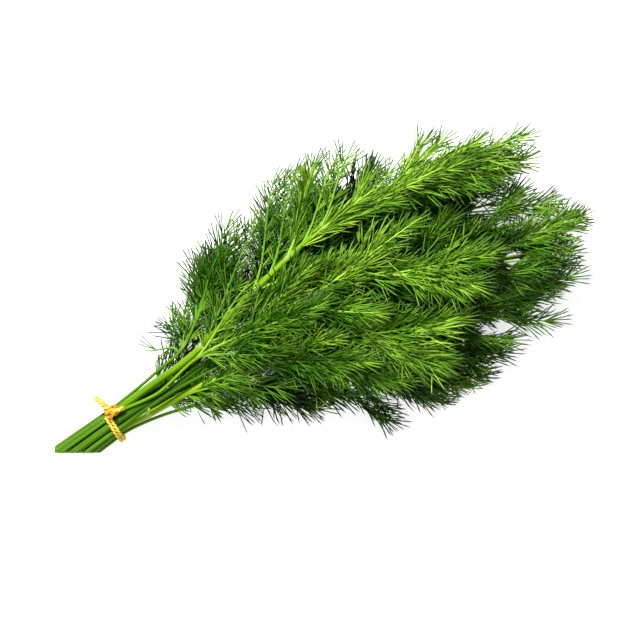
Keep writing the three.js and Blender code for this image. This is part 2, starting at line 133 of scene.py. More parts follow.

# Each leafy stem: its slot, thickness and shade (partly the stalk's own tone and partly painted light
# and shade, lighter on lit stalks and darker on shaded ones), the points it passes beyond the tie,
# and its leaves. A leaf is the x where it springs off, its tip, half its width, and its kind: an open
# spray, or a plume, whose threads all sweep forward.
STEMS = {
    "dill_stem_01": ("upperLeft", 5.4, 0.08,
        [(26, 7.9, 16.4), (62, 12, 23), (107, 25, 36), (155, 36, 47), (193, 38, 51), (226, 36, 51)], [
        (64, (134, 60, 26), 9, "open"),
        (106, (157, 80, 30), 6, "open"),
        (108, (189, -2, 46), 13, "plume"),
        (132, (179, 74, 36), 9, "plume"),
        (156, (196, 67, 42), 9, "open"),
        (176, (200, 51, 46), 5, "plume"),
        (198, (283, 12, 40), 13, "plume"),
        (206, (237, 52, 50), 5, "plume"),
        (214, (264, 35, 51), 5, "plume"),
        (226, (288, 24, 46), 6, "plume"),
    ]),
    "dill_stem_02": ("leftNotch", THIN, -0.1,
        [(26, 11.4, 13.2), (40, 14.2, 15.7), (56, 17.6, 19), (75, 30, 20)], [
        (54, (37, 28, 12), 3, "open"),
        (56, (60, 39, 9), 9, "open"),
        (69, (92, 59, 14), 7, "open"),
        (75, (118, 68, 21), 10, "open"),
    ]),
    "dill_stem_03": ("topNotchLeft", THIN, 0.06,
        [(26, 2.7, 22.5), (36, 3.2, 24.2), (56, 8, 28.5), (69, 9, 34)], [
        (60, (107, 30, 46), 10, "open"),
        (62, (103, -12, 46), 9, "open"),
        (69, (143, -1, 52), 13, "plume"),
    ]),
    "dill_stem_04": ("top", 5, -0.28,
        [(26, 0.2, 18.9), (40, 0.6, 20.3), (72, 4, 25), (115, 8, 38), (152, 4, 48), (181, -6, 51)], [
        (87, (145, 22, 50), 12, "plume"),
        (115, (168, -22, 55), 12, "plume"),
        (133, (211, 14, 57), 13, "plume"),
        (153, (241, -24, 50), 14, "plume"),
        (181, (224, -36, 52), 13, "plume"),
    ]),
    "dill_stem_05": ("upperRight", 5.4, 0.3,
        [(26, -5.3, 16.3), (56, -6, 24), (85, -10, 34), (123, -16, 42), (149, -32, 44)], [
        (60, (101, -33, 32), 10, "open"),
        (86, (149, -42, 50), 11, "plume"),
        (105, (161, -64, 36), 12, "plume"),
        (125, (207, -48, 43), 13, "plume"),
        (149, (187, -66, 40), 12, "plume"),
    ]),
    "dill_stem_06": ("rightNotch", THIN, -0.12,
        [(26, -9.4, 13), (44, -13.5, 14), (58, -17.5, 13)], [
        (51, (60, -26, 6), 7, "open"),
        (58, (82, -37, 0.2), 8, "open"),
    ]),
    "dill_stem_07": ("lowerRight", 5, -0.1,
        [(26, -3, 8.5), (40, -4.4, 9.6), (55, -9.5, 11.5), (87, -24, 13), (118, -38.5, 13)], [
        (62, (111, -54, 7), 6, "open"),
        (79, (129, -24, 22), 11, "plume"),
        (95, (132, -57, 15), 8, "plume"),
        (118, (142, -82, 6), 6, "plume"),
    ]),
    "dill_stem_08": ("bottom", 4.8, -0.2,
        [(26, 1.2, 4.6), (62, -6, 8), (107, -20, 9), (143, -40, 11)], [
        (73, (123, 8, 4), 11, "plume"),
        (124, (176, -89, 0.2), 6, "plume"),
        (128, (194, -88, 15), 12, "plume"),
        (137, (196, -36, 0.2), 12, "plume"),
        (143, (220, -78, 10), 11, "plume"),
    ]),
    "dill_stem_09": ("middle", 5.2, -0.25,
        [(26, 0.2, 13), (63, 0, 16), (113, -6, 21), (163, -24, 25), (203, -42, 25)], [
        (99, (153, -38, 28), 11, "plume"),
        (143, (215, -10, 22), 13, "plume"),
        (168, (225, -74, 22), 9, "plume"),
        (193, (252, -76, 16), 7, "plume"),
        (203, (274, -58, 23), 9, "plume"),
    ]),
    "dill_stem_10": ("lowerLeft", 5, -0.3,
        [(26, 4.8, 8.8), (57, 7.4, 11), (103, 18, 14), (153, 26, 20), (203, 17, 25)], [
        (69, (107, 48, 0.2), 12, "open"),
        (99, (160, 76, 12), 9, "open"),
        (121, (173, 2, 12), 12, "plume"),
        (143, (207, 52, 24), 12, "plume"),
        (173, (239, 32, 30), 12, "plume"),
        (203, (283, -16, 28), 12, "plume"),
    ]),
    "dill_stem_11": ("topNotchRight", 2.6, -0.3,
        [(26, -1.6, 23), (52, -1, 27), (109, -5, 31), (163, -12, 36), (217, -20, 37)], [
        (123, (179, -40, 34), 11, "plume"),
        (163, (229, 6, 40), 12, "plume"),
        (191, (261, -46, 34), 12, "plume"),
        (203, (279, -46, 28), 12, "plume"),
        (217, (300, -32, 32), 12, "plume"),
    ]),
}
# Leaves deep inside the bunch, which fill the gaps between the ones above.
INNER_LEAVES = {
    "dill_stem_01": [
        (138, (196, 41, 56), 6, "plume"),
        (165, (230, 33, 57), 6, "plume"),
        (184, (250, 29, 56), 6, "plume"),
        (150, (208, 30, 55), 7, "plume"),
        (214, (269, 12, 42), 7, "plume"),
        (226, (278, 19, 43), 8, "plume"),
        (119, (166, 75, 33), 7, "open"),
        (144, (188, 68, 40), 7, "open"),
        (190, (214, 47, 50), 4, "open"),
        (200, (247, 46, 48), 4, "plume"),
    ],
    "dill_stem_02": [
        (56, (71, 39, 10), 7, "open"),
        (73, (100, 56, 18), 9, "open"),
        (75, (123, 59, 22), 9, "open"),
        (75, (108, 48, 25), 9, "open"),
        (66, (98, 50, 20), 8, "open"),
        (58, (76, 34, 14), 8, "open"),
        (75, (116, 60, 22), 8, "open"),
        (72, (103, 55, 24), 8, "open"),
    ],
    "dill_stem_05": [
        (40, (88, -17, 37), 9, "open"),
        (46, (84, -10, 38), 6, "open"),
        (62, (112, -9, 47), 9, "plume"),
        (92, (140, -21, 51), 9, "plume"),
        (30, (74, -20, 16), 9, "open"),
    ],
    "dill_stem_07": [
        (79, (110, -50, 8), 7, "plume"),
        (44, (84, -26, 10), 9, "open"),
        (71, (101, -40, 12), 11, "plume"),
        (99, (127, -40, 8), 12, "plume"),
    ],
    "dill_stem_08": [
        (124, (144, -75, 5), 5, "plume"),
        (131, (176, -85, 6), 7, "plume"),
        (143, (216, -73, 12), 8, "plume"),
        (143, (199, -84, 9), 8, "plume"),
        (30, (86, -12, 8), 10, "open"),
        (89, (133, -20, 4), 13, "plume"),
        (113, (163, -38, 6), 14, "plume"),
        (131, (175, -62, 6), 14, "plume"),
        (136, (203, -82, 12), 12, "plume"),
        (143, (217, -43, 12), 14, "plume"),
    ],
    "dill_stem_09": [
        (203, (267, -56, 20), 8, "plume"),
        (24, (90, 10, 18), 10, "open"),
        (123, (175, -9, 12), 14, "plume"),
        (132, (196, -28, 9), 13, "plume"),
        (153, (211, -69, 14), 14, "plume"),
        (183, (235, -40, 14), 14, "plume"),
        (203, (245, -57, 20), 9, "plume"),
    ],
    "dill_stem_10": [
        (112, (184, 22, 16), 13, "plume"),
        (24, (92, 24, 12), 10, "open"),
        (83, (115, 34, 6), 13, "plume"),
        (111, (143, 50, 8), 14, "plume"),
        (133, (185, 56, 16), 13, "plume"),
        (153, (199, 32, 20), 14, "plume"),
        (179, (229, 18, 14), 14, "plume"),
        (193, (261, 10, 22), 14, "plume"),
        (203, (249, -22, 16), 14, "plume"),
    ],
    "dill_stem_11": [
        (208, (277, -40, 26), 8, "plume"),
        (143, (199, -18, 28), 13, "plume"),
        (179, (239, -12, 34), 13, "plume"),
        (192, (271, 0, 34), 12, "plume"),
        (208, (274, -51, 24), 12, "plume"),
    ],
}

# Openings where the leaves part and the surface shows through, as x and y and radius.
CLEARINGS = [
    (245, -32, 3.2),
    (184, 54, 1.2),
    (239, 1, 1.0),
    (244, 0, 1.6),
    (249, -2, 1.2),
    (221, -63, 2.2),
    (214, -60, 1.2),
]

# How finely the pieces are made, and the step that tells a line's way.
STALK_SIDES = 16
STALK_STEP = 3.0
THIN_STALK_SIDES = 10
RIB_SIDES = 6
RIB_STEP = 5.0
RIB_SAMPLES = 40
LINE_SAMPLES = 24
WAY_STEP = 0.004

# A leaf's rib: how far its handles reach, which way its tip leans, its radius, and how its foot
# flares, more so on a thick stalk and less so towards the stalk's tip.
RIB_HANDLE = 0.33
RIB_LEAN = Vector((1, 0, -0.2))
RIB_RADIUS = 0.8
RIB_TAPER = 0.45
RIB_FLARE = 0.45
THIN_RIB_FLARE = 0.15
FLARE_FADE = 0.8
FLARE_AT = 6.0
FLARE_SPREAD = 4.0
# How much lighter a rib is than its leaf's threads, and how pale and how far up from its foot.
RIB_SHADE = {"open": 0.14, "plume": 0.28}
RIB_PALE = 0.25
RIB_PALE_SPREAD = 8.0

# Leaf threads: their radius, where they start to taper, and how they bend, fork and lean.
THREAD_RADIUS = 0.4
THREAD_FOOT = 0.85
TAPER_START = 0.8
THREAD_CURL = (0.1, 0.65)
THREAD_TURN = (0.6, 1.5)
THREAD_REACH = (0.85, 1.1)
FORK_ANGLE = 30
FORK_AT = (0.22, 0.5)
FORK_TURN = (0.75, 1.2)
FORK_LIFT = 12
FORK_REACH = (0.75, 1.0)
FORK_CURL = 0.8

# How a leaflet's threads stand: how dark their tips are, how far apart they are and open from its
# rib, how far the rib sweeps round, how long a thread is, how often it forks, how far it rises out
# of the leaflet's plane, and how much of its curl it keeps.
SPRAYS = {
    "plume": dict(ripe=0.75, spacing=4.2, opening=20, sweep=20, reach=22, forks=0.6, lift=18, curl=1),
    "open": dict(ripe=1.0, spacing=5.5, opening=28, sweep=4, reach=18, forks=0.5, lift=12, curl=1),
    "wispy": dict(ripe=1.1, spacing=8.0, opening=26, sweep=3, reach=22, forks=0.4, lift=8, curl=0.4),
}
SPRAY_LENGTHS = (9.0, 13.0, 18.0, 24.0)
SPRAY_VARIANTS = 4
SPRAY_SEED = 41
# Where a leaflet's threads spring off, counted in threads, and, as shares, how long the shortest
# is, how much longer the longest is, and where.
FIRST_THREAD = 0.7
SIDE_SHIFT = 0.15
LAST_THREAD = 0.4
SHORT_THREAD = 0.72
LONG_THREAD = 0.28
LONGEST_THREAD_AT = 0.25
# A leaflet's own rib stops short of the leaflet's tip, and ends in a fan of three threads.
SPINE_SHORT = 0.62
LEAST_SPINE = 1.5
SPINE_SIDES = 4
SPINE_SAMPLES = 9
SPINE_RADIUS = 1.35
SPINE_TAPER = 0.4
SPINE_TIP = 0.2
FAN = (0, 0.24, -0.24)
FAN_DROP = 0.2
FAN_SIDE_DROP = 0.6
FAN_TURN = (0.8, 1.2)
FAN_LIFT = 10
FAN_REACH = 0.66
FAN_CURL = 0.1
FAN_BEND = Vector((0.01, 0.02, 0.03))

# How leaflets are set along a leaf's rib, in pairs from its bare foot to its tip. Past a share of
# the leaf they are wispy ones.
LEAF_FOOT = 0.2
LEAF_RUN = 0.76
LEAF_FULLNESS = 0.8
BARE_SHARE = 0.1
LONGEST_BLADE = 75.0
PAIR_SPACING = {"open": 8.0, "plume": 5.2}
SLIGHT_LEAF = 3
WISPY_FROM = {"open": 0.42, "plume": 0.64}
LEAFLET_OPENING = {"open": 44, "plume": 38}
OPENING_FADE = 14
OPENING_RANGE = 8
LEAFLET_ROLL = {"open": 0.2, "plume": 0.4}
ROLL_RANGE = 0.6
LEAF_LEAN = 0.4
PAIR_STAGGER = 0.25
PAIR_CROWDING = 0.92
LEAFLET_STRETCH = 1.1
LEAFLET_LENGTH = (0.9, 1.15)
SHORTEST_SPRAY = 9.0
LAST_PAIR_SHORT = 6
END_SPRAY_SHORT = 8
END_SPRAY_LENGTH = 13
# A leaflet that doesn't fit is tried again at these shares of its length.
SHRINKS = (1, 0.85, 0.7, 0.55)
BOX_MARGIN = 0.05
LONG_EDGE = 3.0

# Painted light and shade: a leaf is lighter the higher it is, and each leaflet is darker the deeper
# it lies in the bunch, under the ribs above it.
FULL_HEIGHT = 45
PAINTED_HEIGHT_LIGHT = 0.46
PAINTED_LOW_SHADE = -0.08
LEAF_SHADE_RANGE = 0.14
LEAFLET_SHADE_RANGE = 0.24
PAINTED_DEPTH_SHADE = 0.66
DEEP_FADE = 0.5
CANOPY_CELL = 8.0
CANOPY_FALL = 16.0

# Each broad leaf has a shorter one under it: its share of the length, width and height, its sway,
# and how much further along the stalk it springs off.
BROAD_LEAF = 7
BROADEST_LEAF = 14
UNDER_REACH = {"open": 0.64, "plume": 0.72}
UNDER_WIDTH = 0.9
UNDER_HEIGHT = 0.45
UNDER_LEAST_HEIGHT = 3.0
UNDER_SWAY = 11.0
UNDER_SHIFT = 2


# ---- Lines ----


class Line:
    """A smooth line read by the share of its length, from 0 to 1."""

    def __init__(self, points):
        self.points = np.asarray(points, float)
        steps = np.linalg.norm(np.diff(self.points, axis=0), axis=1)
        self.run = np.concatenate([[0.0], np.cumsum(steps)])
        self.length = float(self.run[-1])

    def at(self, shares):
        """The points at these shares, one row each."""
        run = np.clip(shares, 0, 1) * self.length
        return np.stack([np.interp(run, self.run, axis) for axis in self.points.T], -1)

    def ways(self, shares):
        """The directions at these shares, one row each."""
        shares = np.asarray(shares, float)
        ways = self.at(shares + WAY_STEP) - self.at(shares - WAY_STEP)
        return ways / np.linalg.norm(ways, axis=-1, keepdims=True)

    def point(self, share):
        return Vector(self.at(share))

    def way(self, share):
        return Vector(self.ways(share))

    def share_at_x(self, x):
        return float(np.interp(x, self.points[:, 0], self.run)) / self.length


def line_through(points, samples=LINE_SAMPLES):
    """A line that passes smoothly through every point."""
    p = [np.array(point, float) for point in points]
    p = [2 * p[0] - p[1], *p, 2 * p[-1] - p[-2]]
    t = np.linspace(0, 1, samples, endpoint=False)[:, None]
    found = []
    for before, start, end, after in zip(p, p[1:], p[2:], p[3:]):
        leave = 0.5 * (end - before)
        arrive = 0.5 * (after - start)
        found.append(
            start
            + leave * t
            + (-3 * start + 3 * end - 2 * leave - arrive) * t**2
            + (2 * start - 2 * end + leave + arrive) * t**3
        )
    return Line(np.vstack([*found, p[-2][None]]))


def frames_along(line, shares, up):
    """Two ways square to the line at each share: one square to up as well, and one towards up."""
    ways = line.ways(shares)
    sideways = np.cross(ways, np.array(up))
    sideways /= np.linalg.norm(sideways, axis=1, keepdims=True)
    return sideways, np.cross(sideways, ways)


def stem_line(slot, points):
    """A stem's middle: through its slot in the bundle, then on through its own points."""
    degrees, radius = SLOT_AT[slot]
    across = radius * math.cos(math.radians(degrees))
    above = radius * math.sin(math.radians(degrees))
    bundled = [(x, y + across * spread, z + above * spread) for (x, y, z), spread in BUNDLE]
    return line_through(bundled + points)


def rib_line(stalk, x, tip):
    """A leaf's rib leaves the stalk close to its direction and sweeps out to its tip."""
    share = stalk.share_at_x(x)
    root = stalk.point(share)
    tip = Vector(tip)
    reach = (tip - root).length
    outward = (tip - root).normalized()
    start = (stalk.way(share) + outward).normalized()
    end = (2 * outward + RIB_LEAN).normalized()
    handles = [root, root + RIB_HANDLE * reach * start, tip - RIB_HANDLE * reach * end, tip]
    t = np.linspace(0, 1, RIB_SAMPLES)[:, None]
    a, b, c, d = (np.array(handle) for handle in handles)
    return Line(a * (1 - t) ** 3 + 3 * b * t * (1 - t) ** 2 + 3 * c * t**2 * (1 - t) + d * t**3)


# ---- Shoots and threads: every shape of the bunch starts as a tube or a cone ----


def mesh_from(bm, name):
    mesh = bpy.data.meshes.new(name)
    bm.to_mesh(mesh)
    bm.free()
    return mesh


def added(name, data):
    """A new object, in the scene."""
    thing = bpy.data.objects.new(name, data)
    bpy.context.scene.collection.objects.link(thing)
    return thing


def unit_tube(sides, end_radius, rings):
    """A closed tube along Z from -0.5 to 0.5, one in radius at its foot, with its corner points."""
    bm = bmesh.new()
    bmesh.ops.create_cone(
        bm, cap_ends=True, segments=sides, radius1=1, radius2=end_radius, depth=1
    )
    lengthwise = [e for e in bm.edges if abs(e.verts[0].co.z - e.verts[1].co.z) > 0.5]
    bmesh.ops.subdivide_edges(bm, edges=lengthwise, cuts=rings - 1)
    for face in bm.faces:
        face.smooth = True
    mesh = mesh_from(bm, "tube")
    return mesh, corner_points(mesh)


def corner_points(mesh):
    flat = np.empty(len(mesh.vertices) * 3)
    mesh.vertices.foreach_get("co", flat)
    return flat.reshape(-1, 3)


def points_along_edges(mesh, points):
    """Points a quarter, a half and three quarters of the way along each long edge."""
    ends = np.empty(len(mesh.edges) * 2, np.int32)
    mesh.edges.foreach_get("vertices", ends)
    starts, stops = points[ends[0::2]], points[ends[1::2]]
    is_long = np.linalg.norm(stops - starts, axis=1) > LONG_EDGE
    starts, stops = starts[is_long], stops[is_long]
    return np.vstack([starts + share * (stops - starts) for share in (0.25, 0.5, 0.75)])


def add_copy(bm, mesh, points, **values):
    """Adds a copy of a mesh with its corners at these points, and values for its attributes."""
    copy = mesh.copy()
    copy.vertices.foreach_set("co", np.ravel(points))
    for name, value in values.items():
        layer = copy.attributes.get(name) or copy.attributes.new(name, "FLOAT", "POINT")
        layer.data.foreach_set("value", np.broadcast_to(value, len(points)).astype(np.float32))
    bm.from_mesh(copy)
    bpy.data.meshes.remove(copy)


def add_shoot(bm, line, radius_at, sides, step, values_at, up=UP):
    """Adds a closed round shoot along a line, its radius and its values given along and around."""
    mesh, unit = unit_tube(sides, 1, max(3, round(line.length / step)))
    shares = unit[:, 2] + 0.5
    angles = np.arctan2(unit[:, 1], unit[:, 0])
    sideways, lifts = frames_along(line, shares, up)
    round_it = np.cos(angles)[:, None] * sideways + np.sin(angles)[:, None] * lifts
    points = line.at(shares) + radius_at(shares, angles)[:, None] * round_it
    add_copy(bm, mesh, points, **values_at(shares, angles))
    bpy.data.meshes.remove(mesh)


def add_thread(bm, thread, start, heading, curl_to, reach, radius, curl, ripe=1, **values):
    """Adds one tapering three-sided thread from start, bent towards curl_to by curl radians."""
    mesh, unit = thread
    forward = np.array(heading.normalized())
    bend = np.array(curl_to) - np.dot(curl_to, forward) * forward
    bend /= np.linalg.norm(bend)
    other = np.cross(forward, bend)
    shares = np.interp(unit[:, 2], (-0.5, 0, 0.5), (0, TAPER_START, 1))
    # The unit thread is a cone, so its middle ring is doubled to keep the full radius up to there.
    swell = radius * np.where(unit[:, 2] < -0.4, THREAD_FOOT, 2.0)
    points = (
        np.array(start)
        + (shares * reach)[:, None] * forward
        + (unit[:, 0] * swell + 0.5 * curl * reach * shares**2)[:, None] * bend
        + (unit[:, 1] * swell)[:, None] * other
    )
    add_copy(bm, mesh, points, tip=ripe * shares, **values)


# ---- Leaflets ----


def tilted(way, limit, draw):
    """The way, turned up or down out of its leaflet's plane by up to limit degrees."""
    lift = math.radians(draw.uniform(-limit, limit))
    return (way * math.cos(lift) + Vector((0, 0, math.sin(lift)))).normalized()


def turned(way, angle):
    """The way, turned in its leaflet's plane by an angle in radians."""
    return Matrix.Rotation(angle, 3, "Z") @ way


def spine_at(share, length, sweep):
    """Where a leaflet's own rib is at a share of its length, and which way it heads there."""
    angle = sweep * share
    heading = Vector((math.cos(angle), math.sin(angle), 0))
    half_way = Vector((math.cos(angle / 2), math.sin(angle / 2), 0))
    return half_way * (share * length), heading


def add_forked_thread(bm, thread, start, way, heading, reach, spray, draw):
    """Adds a thread that bends towards heading, with now and then a fork on either side."""
    curl = draw.uniform(*THREAD_CURL) * spray["curl"]
    look = dict(ripe=spray["ripe"], fleck=draw.uniform(-1, 1))
    add_thread(bm, thread, start, way, heading, reach, THREAD_RADIUS, curl, **look)
    for side in (1, -1):
        if draw.random() > spray["forks"]:
            continue
        at = draw.uniform(*FORK_AT) * reach
        turn = math.radians(side * FORK_ANGLE * draw.uniform(*FORK_TURN))
        fork = tilted(turned(way, turn), FORK_LIFT, draw)
        fork_reach = (reach - at) * draw.uniform(*FORK_REACH)
        foot = start + way * at
        fork_curl = FORK_CURL * curl
        add_thread(bm, thread, foot, fork, heading, fork_reach, THREAD_RADIUS, fork_curl, **look)


def add_thread_pairs(bm, thread, length, sweep, spray, draw):
    """Adds the threads on both sides of a leaflet's own rib."""
    nodes = int(length / spray["spacing"])
    for node in range(nodes):
        for side in (1, -1):
            share = (node + FIRST_THREAD + SIDE_SHIFT * side) / (nodes + LAST_THREAD)
            start, heading = spine_at(share, length, sweep)
            turn = side * math.radians(spray["opening"] * draw.uniform(*THREAD_TURN))
            way = tilted(turned(heading, turn), spray["lift"], draw)
            swell = math.sin(math.pi * min(1, share + LONGEST_THREAD_AT))
            room = SHORT_THREAD + LONG_THREAD * swell
            reach = spray["reach"] * room * draw.uniform(*THREAD_REACH)
            add_forked_thread(bm, thread, start, way, heading, reach, spray, draw)


def add_end_fan(bm, thread, length, sweep, spray, draw):
    """Adds the three threads that a leaflet ends in."""
    end, heading = spine_at(1.0, length, sweep)
    for turn in FAN:
        way = tilted(turned(heading, turn * draw.uniform(*FAN_TURN)), FAN_LIFT, draw)
        start = end - heading * (FAN_SIDE_DROP if turn else FAN_DROP)
        reach = FAN_REACH * spray["reach"] * draw.uniform(*THREAD_REACH)
        bend = heading + FAN_BEND
        look = dict(ripe=spray["ripe"], fleck=draw.uniform(-1, 1))
        add_thread(bm, thread, start, way, bend, reach, THREAD_RADIUS, FAN_CURL, **look)


def spray_mesh(kind, length, thread, draw):
    """A leaflet divided into threads: its own rib runs along +X and sweeps towards +Y."""
    spray = SPRAYS[kind]
    sweep = math.radians(spray["sweep"])
    spine_length = max(LEAST_SPINE, length - SPINE_SHORT * spray["reach"])
    shares = np.linspace(0, 1, SPINE_SAMPLES)
    spine = Line([spine_at(share, spine_length, sweep)[0] for share in shares])
    bm = bmesh.new()
    add_shoot(
        bm, spine, lambda s, a: THREAD_RADIUS * (SPINE_RADIUS - SPINE_TAPER * s),
        SPINE_SIDES, length / 3,
        lambda s, a: {"tip": SPINE_TIP * s},
    )
    add_thread_pairs(bm, thread, spine_length, sweep, spray, draw)
    add_end_fan(bm, thread, spine_length, sweep, spray, draw)
    return mesh_from(bm, "spray")


def spray_templates(thread):
    """A few variants of every kind and size of leaflet: mesh, corners, and points to test."""
    draw = random.Random(SPRAY_SEED)
    templates = {}
    for kind in SPRAYS:
        for length in SPRAY_LENGTHS:
            for _ in range(SPRAY_VARIANTS):
                mesh = spray_mesh(kind, length, thread, draw)
                points = corner_points(mesh)
                along = np.vstack([points, points_along_edges(mesh, points)])
                templates.setdefault((kind, length), []).append((mesh, points, along))
    return templates


# ---- Leaves ----


def width_share(share):
    """A leaf is widest about a third of the way up, and narrows to the tip."""
    return math.sin(math.pi * (LEAF_FOOT + LEAF_RUN * share) ** LEAF_FULLNESS)


def fits(points):
    """Whether placed points stay inside the bunch's own box and out of the openings."""
    if (points < LOW + BOX_MARGIN).any() or (points > HIGH - BOX_MARGIN).any():
        return False
    return all(
        np.hypot(points[:, 0] - x, points[:, 1] - y).min() > radius for x, y, radius in CLEARINGS
    )


def place_spray(bm, sprays, kind, root, heading, forward, length, tint, draw):
    """Adds a copy of a leaflet from root along heading, sweeping forward, if it fits."""
    nominal = min(SPRAY_LENGTHS, key=lambda each: abs(each - length))
    mesh, points, along = draw.choice(sprays[kind, nominal])
    x = heading.normalized()
    y = (forward - forward.dot(x) * x).normalized()
    axes = np.array([x, y, x.cross(y)])
    for shorter in SHRINKS:
        scaled_axes = shorter * length / nominal * axes
        if fits(np.array(root) + along @ scaled_axes):
            add_copy(bm, mesh, np.array(root) + points @ scaled_axes, tint=tint)
            return


class Canopy:
    """How high the leaf ribs reach over each part of the bunch, cell by cell."""

    def __init__(self):
        self.heights = {}

    def cell(self, point):
        return (round(point[0] / CANOPY_CELL), round(point[1] / CANOPY_CELL))

    def raise_over(self, rib):
        for point in rib.at(np.linspace(0.1, 1, RIB_SAMPLES)):
            cell = self.cell(point)
            self.heights[cell] = max(self.heights.get(cell, 0), point[2])

    def depth(self, point):
        """How deep a point lies below the highest ribs: 0 at the top and 1 far down."""
        return min(1, max(0, (self.heights.get(self.cell(point), 0) - point.z) / CANOPY_FALL))


def whole_canopy():
    canopy = Canopy()
    for slot, _, _, points, leaves in STEMS.values():
        stalk = stem_line(slot, points)
        for x, tip, _, _ in leaves:
            canopy.raise_over(rib_line(stalk, x, tip))
    return canopy


def grow_leaf(bm, sprays, canopy, rib, half, kind, tint, draw):
    """Sets divided leaflets in pairs along a rib, and one more at its end."""
    bare = max(BARE_SHARE, 1 - LONGEST_BLADE / rib.length)
    pairs = round(rib.length * (1 - bare) / PAIR_SPACING[kind])
    if half <= SLIGHT_LEAF:
        pairs = 1
    last = 1 - LAST_PAIR_SHORT / rib.length
    lean = draw.uniform(-LEAF_LEAN, LEAF_LEAN)
    for pair in range(pairs):
        for side in (1, -1):
            step = ((pair + PAIR_STAGGER * (side < 0)) / pairs) ** PAIR_CROWDING
            share = bare + (last - bare) * step
            root = rib.point(share)
            forward = rib.way(share)
            across = forward.cross(UP).normalized()
            uneven = (1 if pair % 2 else -1) + draw.uniform(-ROLL_RANGE, ROLL_RANGE)
            roll = lean + LEAFLET_ROLL[kind] * uneven
            outward = Matrix.Rotation(roll, 3, forward) @ (across * side)
            widest = LEAFLET_OPENING[kind] - OPENING_FADE * share
            opening = math.radians(widest + draw.uniform(-OPENING_RANGE, OPENING_RANGE))
            heading = forward * math.cos(opening) + outward * math.sin(opening)
            length = LEAFLET_STRETCH * half * width_share(share) / math.sin(opening)
            length = max(SHORTEST_SPRAY, length * draw.uniform(*LEAFLET_LENGTH))
            # Painted shade: a leaflet deep under the ribs above it is darkened, less so towards its
            # leaf's tip.
            shade = tint - PAINTED_DEPTH_SHADE * canopy.depth(root) * (1 - DEEP_FADE * share)
            shade += draw.uniform(-LEAFLET_SHADE_RANGE, LEAFLET_SHADE_RANGE)
            wear = "wispy" if share > WISPY_FROM[kind] else kind
            place_spray(bm, sprays, wear, root, heading, forward, length, shade, draw)
    root = rib.point(1 - END_SPRAY_SHORT / rib.length)
    way = rib.way(1)
    place_spray(bm, sprays, "wispy", root, way, way.cross(UP), END_SPRAY_LENGTH, tint, draw)


def under_leaf(line, leaf, draw):
    """The shorter leaf that lies below a leaf."""
    x, tip, half, kind = leaf
    root = line.point(line.share_at_x(x))
    end = root + UNDER_REACH[kind] * (Vector(tip) - root)
    end.y += draw.uniform(-UNDER_SWAY, UNDER_SWAY) * (half / BROADEST_LEAF)
    end.z = max(UNDER_LEAST_HEIGHT, UNDER_HEIGHT * end.z)
    return x + UNDER_SHIFT, end, UNDER_WIDTH * half, kind


# ---- The leafy stems ----

STEM_MATERIALS = ["dill_leaf", "dill_stalk", "dill_cut"]


def stalk_radius(line, thick, roots, foot_swell):
    """The radius along a stalk: tapering, finely ridged, and swollen where a leaf springs off."""

    def radius_at(shares, angles):
        radii = thick / 2 + (STALK_TIP - thick / 2) * shares
        radii *= 1 + foot_swell * np.clip(1 - FOOT_FADE * shares, 0, 1)
        ridges = 1 + RIDGE_HEIGHT * np.cos(RIDGES * angles)
        swelling = np.zeros(len(shares))
        for root in roots:
            apart = (shares - root) * line.length - JOINT_SHIFT
            swelling = np.maximum(swelling, np.exp(-((apart / JOINT_SPREAD) ** 2)))
        return radii * ridges * (1 + JOINT_SWELL * swelling)

    return radius_at


def stalk_values(line, shade, roots):
    """How pale, how striped and how light a stalk is, along and around it. Beyond the tie it takes on
    its stem's shade, partly its own tone and partly painted light and shade.
    """

    def values_at(shares, angles):
        gaps = [np.abs((shares - root) * line.length - JOINT_SHIFT) for root in roots]
        pale = np.exp(-((np.min(gaps, axis=0) / PALE_SPREAD) ** 2))
        beyond_tie = np.clip((line.at(shares)[:, 0] - SHADE_FROM) / SHADE_RUN, 0, 1)
        return {
            "pale": pale * (1 - PALE_FADE * shares**2),
            "stripe": np.cos(RIDGES * angles),
            "tint": (shade - FOOT_SHADE) * beyond_tie + FOOT_SHADE,
        }

    return values_at


def is_cut_face(face, direction, reach):
    """Whether a face lies in a cut's plane and faces the way the cut does."""
    in_plane = abs(face.calc_center_median().dot(direction) - reach) < CUT_NEAR
    return in_plane and face.normal.dot(direction) > CUT_FACING


def trim_stalk(bm, thick):
    """Cuts a stalk's foot off and dresses each cut face with a rind round a paler middle."""
    for direction, reach in CUTS:
        cut = bmesh.ops.bisect_plane(
            bm, geom=bm.verts[:] + bm.edges[:] + bm.faces[:],
            plane_co=direction * reach, plane_no=direction, clear_outer=True,
        )
        rim = [e for e in cut["geom_cut"] if isinstance(e, bmesh.types.BMEdge)]
        if rim:
            bmesh.ops.contextual_create(bm, geom=rim)
    bmesh.ops.recalc_face_normals(bm, faces=bm.faces)
    for direction, reach in CUTS:
        ends = [face for face in bm.faces if is_cut_face(face, direction, reach)]
        bmesh.ops.inset_region(bm, faces=ends, thickness=RIND * thick, depth=-CUT_DISH * thick)
        for face in ends:
            face.smooth = False
            face.material_index = STEM_MATERIALS.index("dill_cut")


def add_sheath(bm, thread, line, x):
    """Adds the small pale sheath on a low joint."""
    foot = line.point(line.share_at_x(x + JOINT_SHIFT)) + SHEATH_RISE * UP
    add_thread(
        bm, thread, foot, SHEATH_WAY, UP, SHEATH_LENGTH, SHEATH_RADIUS, SHEATH_CURL, **SHEATH_LOOK
    )


def add_rib(bm, rib, flare, shade):
    """Adds a leaf's tapering rib, flared and pale at its foot."""

    def radius_at(shares, angles):
        swelling = np.exp(-(((shares * rib.length - FLARE_AT) / FLARE_SPREAD) ** 2))
        return RIB_RADIUS - RIB_TAPER * shares + flare * swelling

    def values_at(shares, angles):
        pale = RIB_PALE * np.exp(-((shares * rib.length / RIB_PALE_SPREAD) ** 2))
        return {"tint": shade, "pale": pale}

    add_shoot(bm, rib, radius_at, RIB_SIDES, RIB_STEP, values_at)


